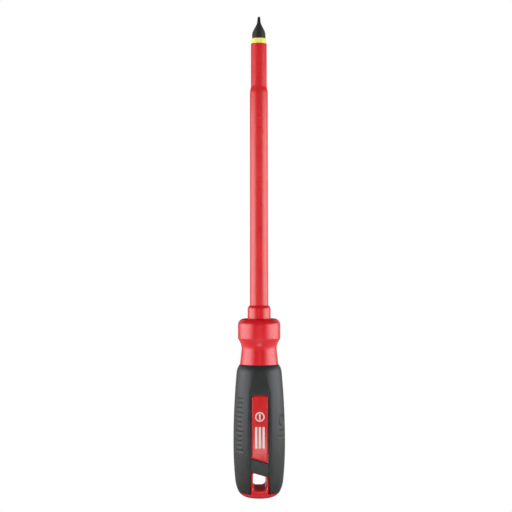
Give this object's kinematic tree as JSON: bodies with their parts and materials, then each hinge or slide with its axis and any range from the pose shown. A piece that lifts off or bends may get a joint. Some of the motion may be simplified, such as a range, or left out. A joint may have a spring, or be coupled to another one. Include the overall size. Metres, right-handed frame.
{
  "type": "insulated screwdriver",
  "caption": "Insulated slotted screwdriver with a stepped two-layer sleeve on its shank, a round guard, a soft overmoulded grip, badges and a lanyard hole through the butt.",
  "frame": {"origin": "centre of the butt's flat end, which is the lowest point of the tool standing with its blade up", "axes": "+Z along the tool towards the tip, -Y the front badge's side, +X to the right seen from the front; the slotted tip's width lies along Y and its thickness along X"},
  "size_m": [0.0366, 0.0338, 0.3395],
  "materials": {
    "black_steel": "black oxide, satin",
    "yellow_plastic": "satin moulded",
    "red_sleeve": "smooth, semi-gloss",
    "core_plastic": "plain moulded, hidden",
    "red_plastic": "smooth, semi-gloss",
    "grip_rubber": "fine matt texture",
    "badge_plastic": "smooth, semi-gloss",
    "white_print": "thin satin print on the badges"
  },
  "bodies": {
    "root": {"blade": "black_steel", "inner_sleeve": "yellow_plastic", "outer_sleeve": "red_sleeve", "handle_core": "core_plastic", "handle_body": "red_plastic", "grip": "grip_rubber", "front_badge": "badge_plastic", "rear_badge": "badge_plastic"}
  },
  "joints": []
}
